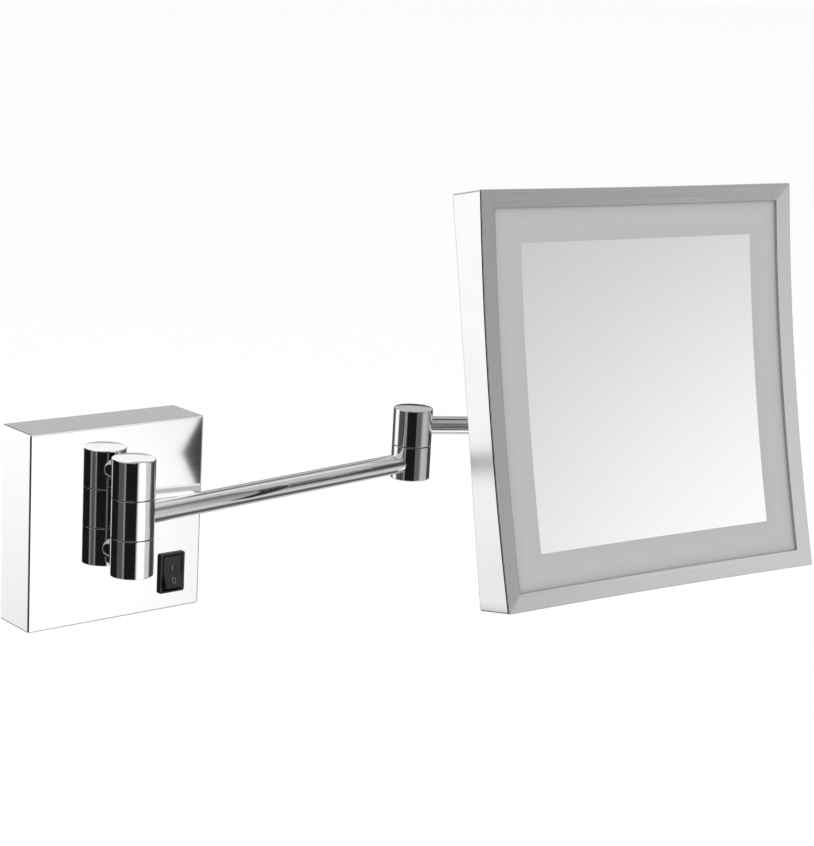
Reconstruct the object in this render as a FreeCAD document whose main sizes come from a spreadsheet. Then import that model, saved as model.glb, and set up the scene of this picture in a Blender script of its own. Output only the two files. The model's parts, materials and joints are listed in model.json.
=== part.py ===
import FreeCAD, Part
import Sketcher
import os
import re

# A lit square magnifying mirror on a swing arm, wired into a wall box.
# Millimetres.  The origin is the middle of the wall box's back face, on the wall;
# +Z is up, +X runs along the wall and the room is at -Y.
# Each moving group has a frame of its own, and its pieces are drawn in that frame:
#   arm frame     the wall pivot, with the arm along local +X
#   link frame    the elbow pivot, with the rod along local +X
#   swivel frame  the pivot behind the head, with local -Y towards the room
#   head frame    the tilt hinge, with local -Y square to the mirror

vector = FreeCAD.Vector
doc = FreeCAD.newDocument("swing_arm_mirror")
sheet = doc.addObject("Spreadsheet::Sheet", "dims")

dimensions = {
    # wall box
    "box_width": 100, "box_depth": 27, "box_wall": 1.2, "box_rounding": 1,
    "bracket_width": 84, "bracket_thickness": 2,
    "bracket_hole_spacing": 60, "bracket_hole_radius": 2.5,
    "flange_width": 14, "flange_thickness": 4, "flange_depth": 20, "flange_spacing": 34,
    "flange_screw_depth": 14, "cover_screw_radius": 2, "cover_screw_length": 9,
    "cable_hole_radius": 9, "cable_hole_drop": 14, "cable_radius": 3.5, "grommet_lip": 2,
    "grub_socket_depth": 2,
    # driver and terminal block inside the wall box
    "driver_width": 26, "driver_depth": 14, "driver_height": 48, "driver_offset": 26,
    "driver_rise": 6, "driver_tab_width": 12, "driver_tab_thickness": 1.5, "driver_tab_reach": 8,
    "driver_screw_inset": 4,
    "terminal_width": 26, "terminal_depth": 11, "terminal_height": 14, "terminal_offset": 24,
    "terminal_rise": 14, "terminal_pitch": 8, "terminal_well_radius": 2.4,
    "terminal_well_depth": 5, "terminal_screw_radius": 2, "terminal_screw_height": 2.5,
    "terminal_slot_width": 0.6, "terminal_slot_depth": 1,
    # switch
    "switch_offset": 32.6, "switch_drop": 30.7, "switch_width": 15, "switch_height": 21,
    "switch_lip": 1.6, "switch_body_width": 13, "switch_body_height": 19, "switch_body_depth": 16,
    "switch_window_width": 11.4, "switch_window_height": 18.6,
    "rocker_width": 10.8, "rocker_half_height": 8.2, "rocker_front": 4.6, "rocker_waist": 2.7,
    "rocker_back": 1.2, "rocker_bulge": 2, "rocker_inset": 1, "rocker_angle": 12,
    "rocker_pin_radius": 1, "switch_window_depth": 8, "blade_width": 4.8, "blade_length": 7,
    "blade_thickness": 0.8, "blade_pitch": 6,
    # knuckles
    "knuckle_radius": 11, "pivot_offset": 13.5, "arm_height": 6.4,
    "knuckle_half": 9.85, "knuckle_gap": 0.5, "washer_thickness": 0.4, "washer_radius": 10.3,
    "wall_knuckle_half": 30.5, "cap_thickness": 1.2, "cap_chamfer": 0.4,
    "pin_radius": 4, "running_clearance": 0.06, "pin_head_radius": 6.5, "pin_head_height": 3,
    "nut_height": 4, "counterbore_radius": 7.5, "counterbore_depth": 6, "stub_radius": 6,
    "bolt_radius": 2.5, "bolt_head_radius": 4.2, "bolt_head_height": 3, "bolt_length": 8,
    "pin_end_inset": 1, "pin_top_gap": 0.3,
    # arm and rod
    "arm_length": 201, "arm_angle": 7, "arm_radius": 5.5, "tube_wall": 1.2, "socket_depth": 4,
    "rod_length": 100, "rod_angle": 28, "rod_radius": 5, "rod_rise": 21, "wire_radius": 2, "wire_inset": 1,
    "pivot_foot": 9.9, "elbow_rise": 21.3, "swivel_rise": 31,
    # tilt hinge
    "hinge_rise": 25.6, "lug_length": 20, "lug_width": 8, "lug_radius": 7, "hinge_pin_radius": 2.5,
    "ear_thickness": 3, "ear_gap": 0.5, "hinge_standoff": 14, "plate_width": 46,
    "plate_height": 34, "plate_thickness": 2, "plate_screw_x": 17, "plate_screw_z": 11,
    "small_screw_radius": 1.5, "small_head_radius": 2.9, "small_head_height": 1.6,
    "hinge_nut_height": 3, "hinge_head_radius": 4.6, "hinge_head_height": 2,
    "hinge_pin_end": 0.5, "tilt_washer_inset": 0.5, "tilt_washer_play": 0.1,
    # head
    "head_size": 220, "head_depth": 26, "head_wall": 1.5, "head_rounding": 1.2,
    "mirror_curve": 1370, "bezel_thickness": 1.6, "bezel_rim": 9.5, "skirt_wall": 1.5,
    "skirt_depth": 3.5, "skirt_play": 0.2, "skirt_overlap": 0.2,
    "glass_recess": 2.2, "glass_thickness": 4, "glass_size": 210,
    "gasket_width": 6, "gasket_thickness": 1, "tray_depth": 5, "tray_thickness": 1,
    "tray_size": 214, "board_width": 8, "board_length": 180, "board_thickness": 1,
    "board_spacing": 94, "board_gap": 1, "chip_margin": 15, "tray_wire_drop": 20,
    "chip_size": 3, "chip_height": 0.8, "chips_per_board": 9,
    "diffuser_outer": 206, "diffuser_inner": 160, "diffuser_back": 9.5, "diffuser_thickness": 2,
    "tilt": 12.2, "head_turn": 5.15,
    # cutters: how far one overruns a face, and one long enough to pass right through
    "cut_margin": 1, "long_cut": 80,
}
for row, (alias, number) in enumerate(dimensions.items(), start=1):
    sheet.set(f"A{row}", alias)
    sheet.set(f"B{row}", str(number))
    sheet.setAlias(f"B{row}", alias)
doc.recompute()

parts = []


def size(alias):
    return float(sheet.get(alias))


def expression(text):
    """Put the sheet's name before each alias in a formula."""
    return re.sub(r"[a-z_]+", lambda word: "dims." + word.group() if word.group() in dimensions
                  else word.group(), str(text))


def bind(thing, **formulas):
    for name, formula in formulas.items():
        thing.setExpression(name, expression(formula))
    return thing


def place(thing, x=0, y=0, z=0, rotation=None):
    """Turn a primitive, then tie its corner or foot to formulas."""
    thing.Placement = FreeCAD.Placement(vector(), rotation or FreeCAD.Rotation())
    for axis, formula in zip("xyz", (x, y, z)):
        thing.setExpression("Placement.Base." + axis, expression(formula))
    return thing


upright = FreeCAD.Rotation()
towardsRoom = FreeCAD.Rotation(vector(1, 0, 0), 90)
alongX = FreeCAD.Rotation(vector(0, 1, 0), 90)
againstX = FreeCAD.Rotation(vector(0, 1, 0), -90)


def cylinder(name, radius, height, x=0, y=0, z=0, rotation=upright):
    rod = doc.addObject("Part::Cylinder", name)
    return place(bind(rod, Radius=radius, Height=height), x, y, z, rotation)


def block(name, length, width, height, x=0, y=0, z=0):
    """A box given by its sizes along X, Y and Z and its middle in X and Z and its -Y face."""
    box = doc.addObject("Part::Box", name)
    bind(box, Length=length, Width=width, Height=height)
    return place(box, f"{x} - ({length}) / 2", y, f"{z} - ({height}) / 2")


def hexagon(name, radius, height, x=0, y=0, z=0, rotation=upright):
    nut = doc.addObject("Part::Prism", name)
    nut.Polygon = 6
    return place(bind(nut, Circumradius=radius, Height=height), x, y, z, rotation)


def ball(name, radius, y):
    sphere = doc.addObject("Part::Sphere", name)
    return place(bind(sphere, Radius=radius), 0, y, 0)


def fuse(name, *shapes):
    joined = doc.addObject("Part::MultiFuse", name)
    joined.Shapes = list(shapes)
    return joined


def cut(name, base, *tools):
    result = doc.addObject("Part::Cut", name)
    result.Base = base
    result.Tool = tools[0] if len(tools) == 1 else fuse(name + "_tools", *tools)
    return result


def common(name, *shapes):
    shared = doc.addObject("Part::MultiCommon", name)
    shared.Shapes = list(shapes)
    return shared


def part(label, thing, frame=FreeCAD.Placement()):
    """Name a finished sub-part and put it in its group's frame."""
    thing.Label = label
    thing.Placement = frame
    parts.append(thing)
    return thing


def group(label, pieces, frame=FreeCAD.Placement()):
    """One sub-part made of separate solids that never move apart."""
    compound = doc.addObject("Part::Compound", label + "_group")
    compound.Links = list(pieces)
    return part(label, compound, frame)


# PartDesign helpers

def newBody(name):
    return doc.addObject("PartDesign::Body", name)


def sketchOn(body, name, role):
    plane = next(feature for feature in body.Origin.OriginFeatures if feature.Role == role)
    sketch = body.newObject("Sketcher::SketchObject", name)
    sketch.AttachmentSupport = [(plane, "")]
    sketch.MapMode = "FlatFace"
    return sketch


def nameLast(sketch, formula):
    index = sketch.ConstraintCount - 1
    sketch.setExpression(f"Constraints[{index}]", expression(formula))


def addRectangle(sketch, width, height, x=0, y=0):
    """A rectangle tied by its lower left corner and its two sides."""
    first = sketch.GeometryCount
    corners = [vector(0, 0, 0), vector(5, 0, 0), vector(5, 5, 0), vector(0, 5, 0)]
    for corner in range(4):
        sketch.addGeometry(Part.LineSegment(corners[corner], corners[(corner + 1) % 4]), False)
    for side in range(4):
        sketch.addConstraint(Sketcher.Constraint("Coincident", first + side, 2, first + (side + 1) % 4, 1))
        level = "Horizontal" if side % 2 == 0 else "Vertical"
        sketch.addConstraint(Sketcher.Constraint(level, first + side))
    sketch.addConstraint(Sketcher.Constraint("DistanceX", first, 1, first, 2, 5.0))
    nameLast(sketch, width)
    sketch.addConstraint(Sketcher.Constraint("DistanceY", first + 1, 1, first + 1, 2, 5.0))
    nameLast(sketch, height)
    sketch.addConstraint(Sketcher.Constraint("DistanceX", -1, 1, first, 1, 0.5))
    nameLast(sketch, f"{x} - ({width}) / 2")
    sketch.addConstraint(Sketcher.Constraint("DistanceY", -1, 1, first, 1, 0.5))
    nameLast(sketch, f"{y} - ({height}) / 2")


def addCircle(sketch, radius, x=0, y=0):
    first = sketch.GeometryCount
    sketch.addGeometry(Part.Circle(vector(1, 1, 0), vector(0, 0, 1), 1), False)
    sketch.addConstraint(Sketcher.Constraint("Radius", first, 1.0))
    nameLast(sketch, radius)
    sketch.addConstraint(Sketcher.Constraint("DistanceX", -1, 1, first, 3, 1.0))
    nameLast(sketch, x)
    sketch.addConstraint(Sketcher.Constraint("DistanceY", -1, 1, first, 3, 1.0))
    nameLast(sketch, y)


def addPolygon(sketch, points):
    """A closed outline whose corners are each tied to formulas."""
    first = sketch.GeometryCount
    count = len(points)
    rough = [vector(float(corner), float(corner % 3), 0) for corner in range(count)]
    for corner in range(count):
        sketch.addGeometry(Part.LineSegment(rough[corner], rough[(corner + 1) % count]), False)
    for corner, (x, y) in enumerate(points):
        following = first + (corner + 1) % count
        sketch.addConstraint(Sketcher.Constraint("Coincident", first + corner, 2, following, 1))
        sketch.addConstraint(Sketcher.Constraint("DistanceX", -1, 1, first + corner, 1, 1.0))
        nameLast(sketch, x)
        sketch.addConstraint(Sketcher.Constraint("DistanceY", -1, 1, first + corner, 1, 1.0))
        nameLast(sketch, y)


def pad(body, sketch, length, name, midplane=False):
    feature = body.newObject("PartDesign::Pad", name)
    feature.Profile = sketch
    feature.Midplane = midplane
    bind(feature, Length=length)
    doc.recompute()
    return feature


def pocket(body, sketch, name, length=None, reverse=False):
    """A pocket of a given depth, or right through, which must take material away."""
    before = body.Shape.Volume
    feature = body.newObject("PartDesign::Pocket", name)
    feature.Profile = sketch
    feature.Reversed = reverse
    if length is None:
        feature.Type = 1
    else:
        bind(feature, Length=length)
    doc.recompute()
    if body.Shape.Volume > before - 0.01:
        raise RuntimeError(name + " cuts nothing")
    return feature


# ---- wall box ----

fourCorners = [(sx, sz) for sx in (-1, 1) for sz in (-1, 1)]

bracket = newBody("bracket_body")
outline = sketchOn(bracket, "bracket_outline", "XZ_Plane")
addRectangle(outline, "bracket_width", "bracket_width")
pad(bracket, outline, "bracket_thickness", "bracket_plate")
flanges = sketchOn(bracket, "bracket_flanges", "XZ_Plane")
for side in (-1, 1):
    addRectangle(flanges, "flange_width", "flange_thickness", f"{side} * flange_spacing / 2",
                 "-bracket_width / 2")
pad(bracket, flanges, "flange_depth", "flange_pads")
holes = sketchOn(bracket, "bracket_holes", "XZ_Plane")
for side in (-1, 1):
    addCircle(holes, "bracket_hole_radius", 0, f"{side} * bracket_hole_spacing / 2")
addCircle(holes, "cable_hole_radius", 0, "-cable_hole_drop")
pocket(bracket, holes, "bracket_hole_pocket", "bracket_thickness * 2", reverse=True)
tapped = sketchOn(bracket, "flange_holes", "XY_Plane")
for side in (-1, 1):
    addCircle(tapped, "cover_screw_radius", f"{side} * flange_spacing / 2", "-flange_screw_depth")
pocket(bracket, tapped, "flange_hole_pocket")
part("wall_bracket", bracket)

cover = newBody("cover_body")
outline = sketchOn(cover, "cover_outline", "XZ_Plane")
addRectangle(outline, "box_width", "box_width")
shellPad = pad(cover, outline, "box_depth", "cover_pad")
front = [f"Edge{number}" for number, edge in enumerate(shellPad.Shape.Edges, start=1)
         if edge.CenterOfMass.y < -1]
rounding = cover.newObject("PartDesign::Fillet", "cover_rounding")
rounding.Base = (shellPad, front)
bind(rounding, Radius="box_rounding")
doc.recompute()
inside = sketchOn(cover, "cover_inside", "XZ_Plane")
addRectangle(inside, "box_width - 2 * box_wall", "box_width - 2 * box_wall")
pocket(cover, inside, "cover_hollow", "box_depth - box_wall", reverse=True)
openings = sketchOn(cover, "cover_openings", "XZ_Plane")
addRectangle(openings, "switch_body_width", "switch_body_height", "switch_offset", "-switch_drop")
stubRise = "(knuckle_half + knuckle_gap + wall_knuckle_half) / 2"
for side in (-1, 1):
    addCircle(openings, "bolt_radius", 0, f"arm_height + {side} * {stubRise}")
pocket(cover, openings, "cover_opening_pocket", reverse=True)
screwHoles = sketchOn(cover, "cover_screw_holes", "XY_Plane")
for side in (-1, 1):
    addCircle(screwHoles, "cover_screw_radius", f"{side} * flange_spacing / 2", "-flange_screw_depth")
pocket(cover, screwHoles, "cover_screw_pocket")
part("wall_cover", cover)

grubScrews = []
for side in (-1, 1):
    shank = cylinder("grub_shank", "cover_screw_radius", "cover_screw_length",
                     f"{side} * flange_spacing / 2", "-flange_screw_depth", "-box_width / 2")
    socket = hexagon("grub_socket", "cover_screw_radius / 2", "grub_socket_depth",
                     f"{side} * flange_spacing / 2", "-flange_screw_depth", "-box_width / 2")
    grubScrews.append(cut("grub_screw", shank, socket))
group("cover_screws", grubScrews)

lip = fuse("grommet_body",
           cylinder("grommet_neck", "cable_hole_radius", "bracket_thickness", 0, 0, "-cable_hole_drop",
                    towardsRoom),
           cylinder("grommet_rim", "cable_hole_radius + grommet_lip", "grommet_lip", 0,
                    "-bracket_thickness", "-cable_hole_drop", towardsRoom))
bore = cylinder("grommet_bore", "cable_radius", "long_cut", 0, "cut_margin", "-cable_hole_drop", towardsRoom)
part("cable_grommet", cut("grommet", lip, bore))

# the driver stands on the bracket's left side, on two drilled tabs
driverBody = fuse(
    "driver_body",
    block("driver_case", "driver_width", "driver_depth", "driver_height", "-driver_offset",
          "-bracket_thickness - driver_depth", "driver_rise"),
    block("driver_tabs", "driver_tab_width", "driver_tab_thickness",
          "driver_height + 2 * driver_tab_reach", "-driver_offset",
          "-bracket_thickness - driver_tab_thickness", "driver_rise"))
driverHoles, driverScrews = [], []
for side in (-1, 1):
    z = f"driver_rise + {side} * (driver_height / 2 + driver_screw_inset)"
    driverHoles.append(cylinder("driver_hole", "small_screw_radius",
                                "driver_tab_thickness + 2 * cut_margin", "-driver_offset",
                                "-bracket_thickness + cut_margin", z, towardsRoom))
    driverScrews.append(fuse(
        "driver_screw",
        cylinder("driver_screw_shank", "small_screw_radius", "driver_tab_thickness",
                 "-driver_offset", "-bracket_thickness", z, towardsRoom),
        cylinder("driver_screw_head", "small_head_radius", "small_head_height", "-driver_offset",
                 "-bracket_thickness - driver_tab_thickness", z, towardsRoom)))
part("led_driver", cut("driver", driverBody, *driverHoles))
group("driver_screws", driverScrews)

# three wells across the terminal block, each with a slotted screw at its foot
terminalFront = "-bracket_thickness - terminal_depth"
terminalFoot = f"{terminalFront} + terminal_well_depth"
terminalWells, terminalScrews = [], []
for step in (-1, 0, 1):
    x = f"terminal_offset + {step} * terminal_pitch"
    terminalWells.append(cylinder("terminal_well", "terminal_well_radius",
                                  "terminal_well_depth + cut_margin", x, terminalFoot,
                                  "terminal_rise", towardsRoom))
    head = cylinder("terminal_screw_head", "terminal_screw_radius", "terminal_screw_height", x,
                    terminalFoot, "terminal_rise", towardsRoom)
    slot = block("terminal_slot", "2 * terminal_screw_radius + cut_margin", "terminal_slot_depth",
                 "terminal_slot_width", x, f"{terminalFoot} - terminal_screw_height", "terminal_rise")
    terminalScrews.append(cut("terminal_screw", head, slot))
part("terminal_block", cut(
    "terminal", block("terminal_case", "terminal_width", "terminal_depth", "terminal_height",
                      "terminal_offset", terminalFront, "terminal_rise"), *terminalWells))
group("terminal_screws", terminalScrews)

# ---- switch ----

switchBody = fuse(
    "switch_body",
    block("switch_lip_block", "switch_width", "switch_lip", "switch_height", "switch_offset",
          "-box_depth - switch_lip", "-switch_drop"),
    block("switch_case", "switch_body_width", "switch_body_depth", "switch_body_height",
          "switch_offset", "-box_depth", "-switch_drop"))
window = block("switch_window", "switch_window_width", "switch_lip + switch_window_depth",
               "switch_window_height", "switch_offset", "-box_depth - switch_lip", "-switch_drop")


def rockerPinRod(name):
    return cylinder(name, "rocker_pin_radius", "switch_body_width",
                    "switch_offset - switch_body_width / 2", "-box_depth + rocker_inset",
                    "-switch_drop", alongX)


part("switch_housing", cut("switch_shell", switchBody, window, rockerPinRod("switch_pin_hole")))
group("rocker_pin", [rockerPinRod("rocker_pin_rod")])
blades = [block("switch_blade", "blade_width", "blade_length", "blade_thickness", "switch_offset",
                "-box_depth + switch_body_depth", f"-switch_drop + {step} * blade_pitch")
          for step in (-1, 0, 1)]
group("switch_terminals", blades)

rocker = newBody("rocker_body")
profile = sketchOn(rocker, "rocker_profile", "YZ_Plane")
addPolygon(profile, [("-rocker_front", "-rocker_half_height"), ("rocker_back", "-rocker_half_height"),
                     ("rocker_back + rocker_bulge", 0), ("rocker_back", "rocker_half_height"),
                     ("-rocker_front", "rocker_half_height"), ("-rocker_waist", 0)])
pad(rocker, profile, "rocker_width", "rocker_pad", midplane=True)
eye = sketchOn(rocker, "rocker_eye", "YZ_Plane")
addCircle(eye, "rocker_pin_radius + running_clearance", 0, 0)
before = rocker.Shape.Volume
eyePocket = rocker.newObject("PartDesign::Pocket", "rocker_eye_pocket")
eyePocket.Profile = eye
eyePocket.Type = 1
eyePocket.Midplane = True
doc.recompute()
if rocker.Shape.Volume > before - 0.01:
    raise RuntimeError("rocker_eye_pocket cuts nothing")
rockerFrame = FreeCAD.Placement(
    vector(size("switch_offset"), size("rocker_inset") - size("box_depth"), -size("switch_drop")),
    FreeCAD.Rotation(vector(1, 0, 0), -size("rocker_angle")))
part("rocker_button", rocker, rockerFrame)

# ---- wall knuckle: two fixed segments with the arm's between them ----

def knuckle(name, foot, head, boreRadius, sockets=(), counterbores=()):
    """A knuckle segment about local Z, with its bore, tube sockets and counterbores."""
    solid = cylinder(name + "_barrel", "knuckle_radius", f"({head}) - ({foot})", 0, 0, foot)
    tools = [cylinder(name + "_bore", boreRadius, f"({head}) - ({foot}) + 2 * cut_margin", 0, 0,
                      f"{foot} - cut_margin")]
    for radius, height, side in sockets:
        tools.append(cylinder(name + "_socket", radius, "long_cut",
                              f"{side} * (knuckle_radius - socket_depth)", 0, height,
                              alongX if side > 0 else againstX))
    for base in counterbores:
        tools.append(cylinder(name + "_counterbore", "counterbore_radius", "counterbore_depth", 0, 0, base))
    return cut(name, solid, *tools)


def capDisc(name, z, up):
    """A knuckle's end cap with a small chamfer on its outer rim."""
    straight = "cap_thickness - cap_chamfer"
    cone = doc.addObject("Part::Cone", name + "_chamfer")
    wide, narrow = "knuckle_radius", "knuckle_radius - cap_chamfer"
    bind(cone, Radius1=wide if up else narrow, Radius2=narrow if up else wide, Height="cap_chamfer")
    if up:
        place(cone, 0, 0, f"{z} + {straight}")
        disc = cylinder(name + "_disc", "knuckle_radius", straight, 0, 0, z)
    else:
        place(cone, 0, 0, z)
        disc = cylinder(name + "_disc", "knuckle_radius", straight, 0, 0, f"{z} + cap_chamfer")
    return fuse(name, disc, cone)


def washerRing(name, z):
    return cut(name, cylinder(name + "_disc", "washer_radius", "washer_thickness", 0, 0, z),
               cylinder(name + "_hole", "pin_radius + running_clearance",
                        "washer_thickness + 2 * cut_margin", 0, 0, f"{z} - cut_margin"))


def pivotPin(name, foot, head):
    """A headed pin: the head sits in the top counterbore and the nut's end reaches the bottom one."""
    return fuse(name,
                cylinder(name + "_shank", "pin_radius", f"({head}) - ({foot})", 0, 0, foot),
                cylinder(name + "_head", "pin_head_radius", "pin_head_height", 0, 0,
                         f"{head} - pin_head_height"))


def nutRing(name, z):
    return cut(name, hexagon(name + "_hex", "pin_head_radius", "nut_height", 0, 0, z),
               cylinder(name + "_thread", "pin_radius", "nut_height + 2 * cut_margin", 0, 0,
                        f"{z} - cut_margin"))


pivotPoint = vector(0, -size("box_depth") - size("pivot_offset"), size("arm_height"))
pivotFrame = FreeCAD.Placement(pivotPoint, FreeCAD.Rotation())
segmentFoot = "knuckle_half + knuckle_gap"
segmentHead = "wall_knuckle_half - cap_thickness"


def fixedSegment(name, side):
    if side > 0:
        foot, head = segmentFoot, segmentHead
        counter = f"{segmentHead} - counterbore_depth"
    else:
        foot, head = f"-({segmentHead})", f"-({segmentFoot})"
        counter = f"-({segmentHead})"
    solid = cylinder(name + "_barrel", "knuckle_radius", f"({head}) - ({foot})", 0, 0, foot)
    stub = cylinder(name + "_stub", "stub_radius", "pivot_offset", 0, "pivot_offset", f"{side} * {stubRise}",
                    towardsRoom)
    joined = fuse(name + "_casting", solid, stub)
    return cut(name, joined,
               cylinder(name + "_bore", "pin_radius", f"({head}) - ({foot}) + 2 * cut_margin", 0, 0,
                        f"{foot} - cut_margin"),
               cylinder(name + "_counterbore", "counterbore_radius", "counterbore_depth", 0, 0, counter),
               cylinder(name + "_thread", "bolt_radius", "bolt_length - box_wall", 0, "pivot_offset",
                        f"{side} * {stubRise}", towardsRoom))


part("fixed_knuckle_top", fixedSegment("fixed_top", 1), pivotFrame)
part("fixed_knuckle_bottom", fixedSegment("fixed_bottom", -1), pivotFrame)
part("wall_cap_top", capDisc("wall_cap_upper", segmentHead, True), pivotFrame)
part("wall_cap_bottom", capDisc("wall_cap_lower", "-wall_knuckle_half", False), pivotFrame)
pinEnd = f"{segmentHead} - pin_end_inset"
part("wall_pivot_pin", pivotPin("wall_pin", f"-({pinEnd})", pinEnd), pivotFrame)
part("wall_pivot_nut", nutRing("wall_nut", f"-({segmentHead}) + counterbore_depth - nut_height"), pivotFrame)
group("wall_pivot_washers",
      [washerRing("wall_washer_top", "knuckle_half + (knuckle_gap - washer_thickness) / 2"),
       washerRing("wall_washer_bottom", "-knuckle_half - (knuckle_gap + washer_thickness) / 2")], pivotFrame)
knuckleBolts = []
for side in (-1, 1):
    height = f"{side} * {stubRise}"
    knuckleBolts.append(fuse(
        "knuckle_bolt",
        cylinder("knuckle_bolt_shank", "bolt_radius", "bolt_length", 0, "pivot_offset + box_wall", height,
                 towardsRoom),
        cylinder("knuckle_bolt_head", "bolt_head_radius", "bolt_head_height", 0,
                 "pivot_offset + box_wall + bolt_head_height", height, towardsRoom)))
group("knuckle_bolts", knuckleBolts, pivotFrame)

# ---- arm ----

armFrame = FreeCAD.Placement(pivotPoint, FreeCAD.Rotation(vector(0, 0, 1), size("arm_angle")))
elbowPoint = armFrame.multVec(vector(size("arm_length"), 0, 0))
elbowArmFrame = FreeCAD.Placement(elbowPoint, armFrame.Rotation)
runningBore = "pin_radius + running_clearance"
part("arm_knuckle", knuckle("arm_knuckle_solid", "-knuckle_half", "knuckle_half", runningBore,
                            sockets=[("arm_radius", 0, 1)]), armFrame)
tubeStart = "knuckle_radius - socket_depth"
part("arm_tube", cut("arm_tube_solid",
                     cylinder("arm_tube_outside", "arm_radius", f"arm_length - 2 * ({tubeStart})",
                              tubeStart, 0, 0, alongX),
                     cylinder("arm_tube_bore", "arm_radius - tube_wall", "arm_length", 0, 0, 0, alongX)),
     armFrame)
group("arm_wire", [cylinder("arm_wire_core", "wire_radius",
                            f"arm_length - 2 * ({tubeStart} + wire_inset)",
                            f"{tubeStart} + wire_inset", 0, 0, alongX)], armFrame)


def pivotPieces(name, lowerBody, upperRise, tubeRadius, frame):
    """The lower half of a two-piece pivot, with its cap, pin, nut and washer, which all turn together."""
    footZ = "-pivot_foot + cap_thickness"
    part(lowerBody, knuckle(name + "_lower", footZ, "knuckle_half", "pin_radius",
                            sockets=[(tubeRadius, 0, -1)], counterbores=[footZ]), frame)
    part(name + "_cap_bottom", capDisc(name + "_lower_cap", "-pivot_foot", False), frame)
    crown = f"knuckle_half + knuckle_gap + {upperRise} - cap_thickness"
    part(name + "_pin", fuse(name + "_pin_solid",
                             cylinder(name + "_pin_shank", "pin_radius",
                                      f"{crown} - pin_top_gap - ({footZ})", 0, 0, footZ),
                             cylinder(name + "_pin_head", "pin_head_radius", "pin_head_height",
                                      0, 0, footZ)),
         frame)
    part(name + "_nut", nutRing(name + "_nut_solid",
                                f"{crown} - counterbore_depth + running_clearance"), frame)
    part(name + "_washer", washerRing(name + "_washer_solid",
                                      "knuckle_half + (knuckle_gap - washer_thickness) / 2"), frame)


def upperPieces(name, upperBody, upperRise, sockets, frame):
    """The upper half of a two-piece pivot and its cap."""
    foot = "knuckle_half + knuckle_gap"
    crown = f"{foot} + {upperRise} - cap_thickness"
    part(upperBody, knuckle(name + "_upper", foot, crown, runningBore, sockets=sockets,
                            counterbores=[f"{crown} - counterbore_depth"]), frame)
    part(name + "_cap_top", capDisc(name + "_upper_cap", crown, True), frame)


pivotPieces("elbow", "elbow_knuckle_lower", "elbow_rise", "arm_radius", elbowArmFrame)

# ---- link: from the elbow to the pivot behind the head ----

linkFrame = FreeCAD.Placement(elbowPoint, FreeCAD.Rotation(vector(0, 0, 1), -size("rod_angle")))
upperPieces("elbow", "elbow_knuckle_upper", "elbow_rise", [("rod_radius", "rod_rise", 1)], linkFrame)
part("link_rod", cut("link_rod_solid",
                     cylinder("link_rod_outside", "rod_radius", f"rod_length - 2 * ({tubeStart})",
                              tubeStart, 0, "rod_rise", alongX),
                     cylinder("link_rod_bore", "rod_radius - tube_wall", "rod_length", 0, 0, "rod_rise",
                              alongX)),
     linkFrame)
group("link_wire", [cylinder("link_wire_core", "wire_radius",
                             f"rod_length - 2 * ({tubeStart} + wire_inset)",
                             f"{tubeStart} + wire_inset", 0, "rod_rise", alongX)], linkFrame)
swivelPoint = linkFrame.multVec(vector(size("rod_length"), 0, size("rod_rise")))
pivotPieces("swivel", "head_knuckle_lower", "swivel_rise", "rod_radius",
            FreeCAD.Placement(swivelPoint, linkFrame.Rotation))

# ---- swivel: the upper half of that pivot and the lug of the tilt hinge ----

swivelFrame = FreeCAD.Placement(swivelPoint, FreeCAD.Rotation(vector(0, 0, 1), -size("head_turn")))
upperPieces("swivel", "head_knuckle_upper", "swivel_rise", [], swivelFrame)
lug = fuse("lug_body",
           block("lug_tongue", "lug_width", "lug_length", "2 * lug_radius", 0, "-lug_length", "hinge_rise"),
           cylinder("lug_eye", "lug_radius", "lug_width", "-lug_width / 2", "-lug_length", "hinge_rise",
                    alongX))
part("tilt_lug", cut("lug", lug,
                     cylinder("lug_seat", "knuckle_radius", "long_cut", 0, 0, 0),
                     cylinder("lug_bore", "hinge_pin_radius + running_clearance", "long_cut",
                              "-long_cut / 2", "-lug_length", "hinge_rise", alongX)), swivelFrame)

# ---- head: hinge bracket ----

hingePoint = swivelFrame.multVec(vector(0, -size("lug_length"), size("hinge_rise")))
headFrame = FreeCAD.Placement(hingePoint, swivelFrame.Rotation.multiply(
    FreeCAD.Rotation(vector(1, 0, 0), -size("tilt"))))
earX = "lug_width / 2 + ear_gap"
ears = []
for side in (-1, 1):
    middle = f"{side} * ({earX} + ear_thickness / 2)"
    ears.append(block("ear_plate", "ear_thickness", "hinge_standoff", "2 * lug_radius", middle,
                      "-hinge_standoff", 0))
    ears.append(cylinder("ear_eye", "lug_radius", "ear_thickness", f"{middle} - ear_thickness / 2", 0, 0,
                         alongX))
plate = block("hinge_plate", "plate_width", "plate_thickness", "plate_height", 0, "-hinge_standoff", 0)
plateScrewPoints = [(f"{sx} * plate_screw_x", f"{sz} * plate_screw_z") for sx, sz in fourCorners]
plateHoles = [cylinder("hinge_plate_hole", "small_screw_radius", "plate_thickness + 2 * cut_margin", x,
                       "-hinge_standoff + plate_thickness + cut_margin", z, towardsRoom)
              for x, z in plateScrewPoints]
part("tilt_bracket", cut("tilt_bracket_solid", fuse("tilt_bracket_body", plate, *ears),
                         cylinder("hinge_bore", "hinge_pin_radius", "long_cut", "-long_cut / 2", 0, 0,
                                  alongX),
                         *plateHoles),
     headFrame)
pinReach = f"{earX} + ear_thickness"
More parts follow.
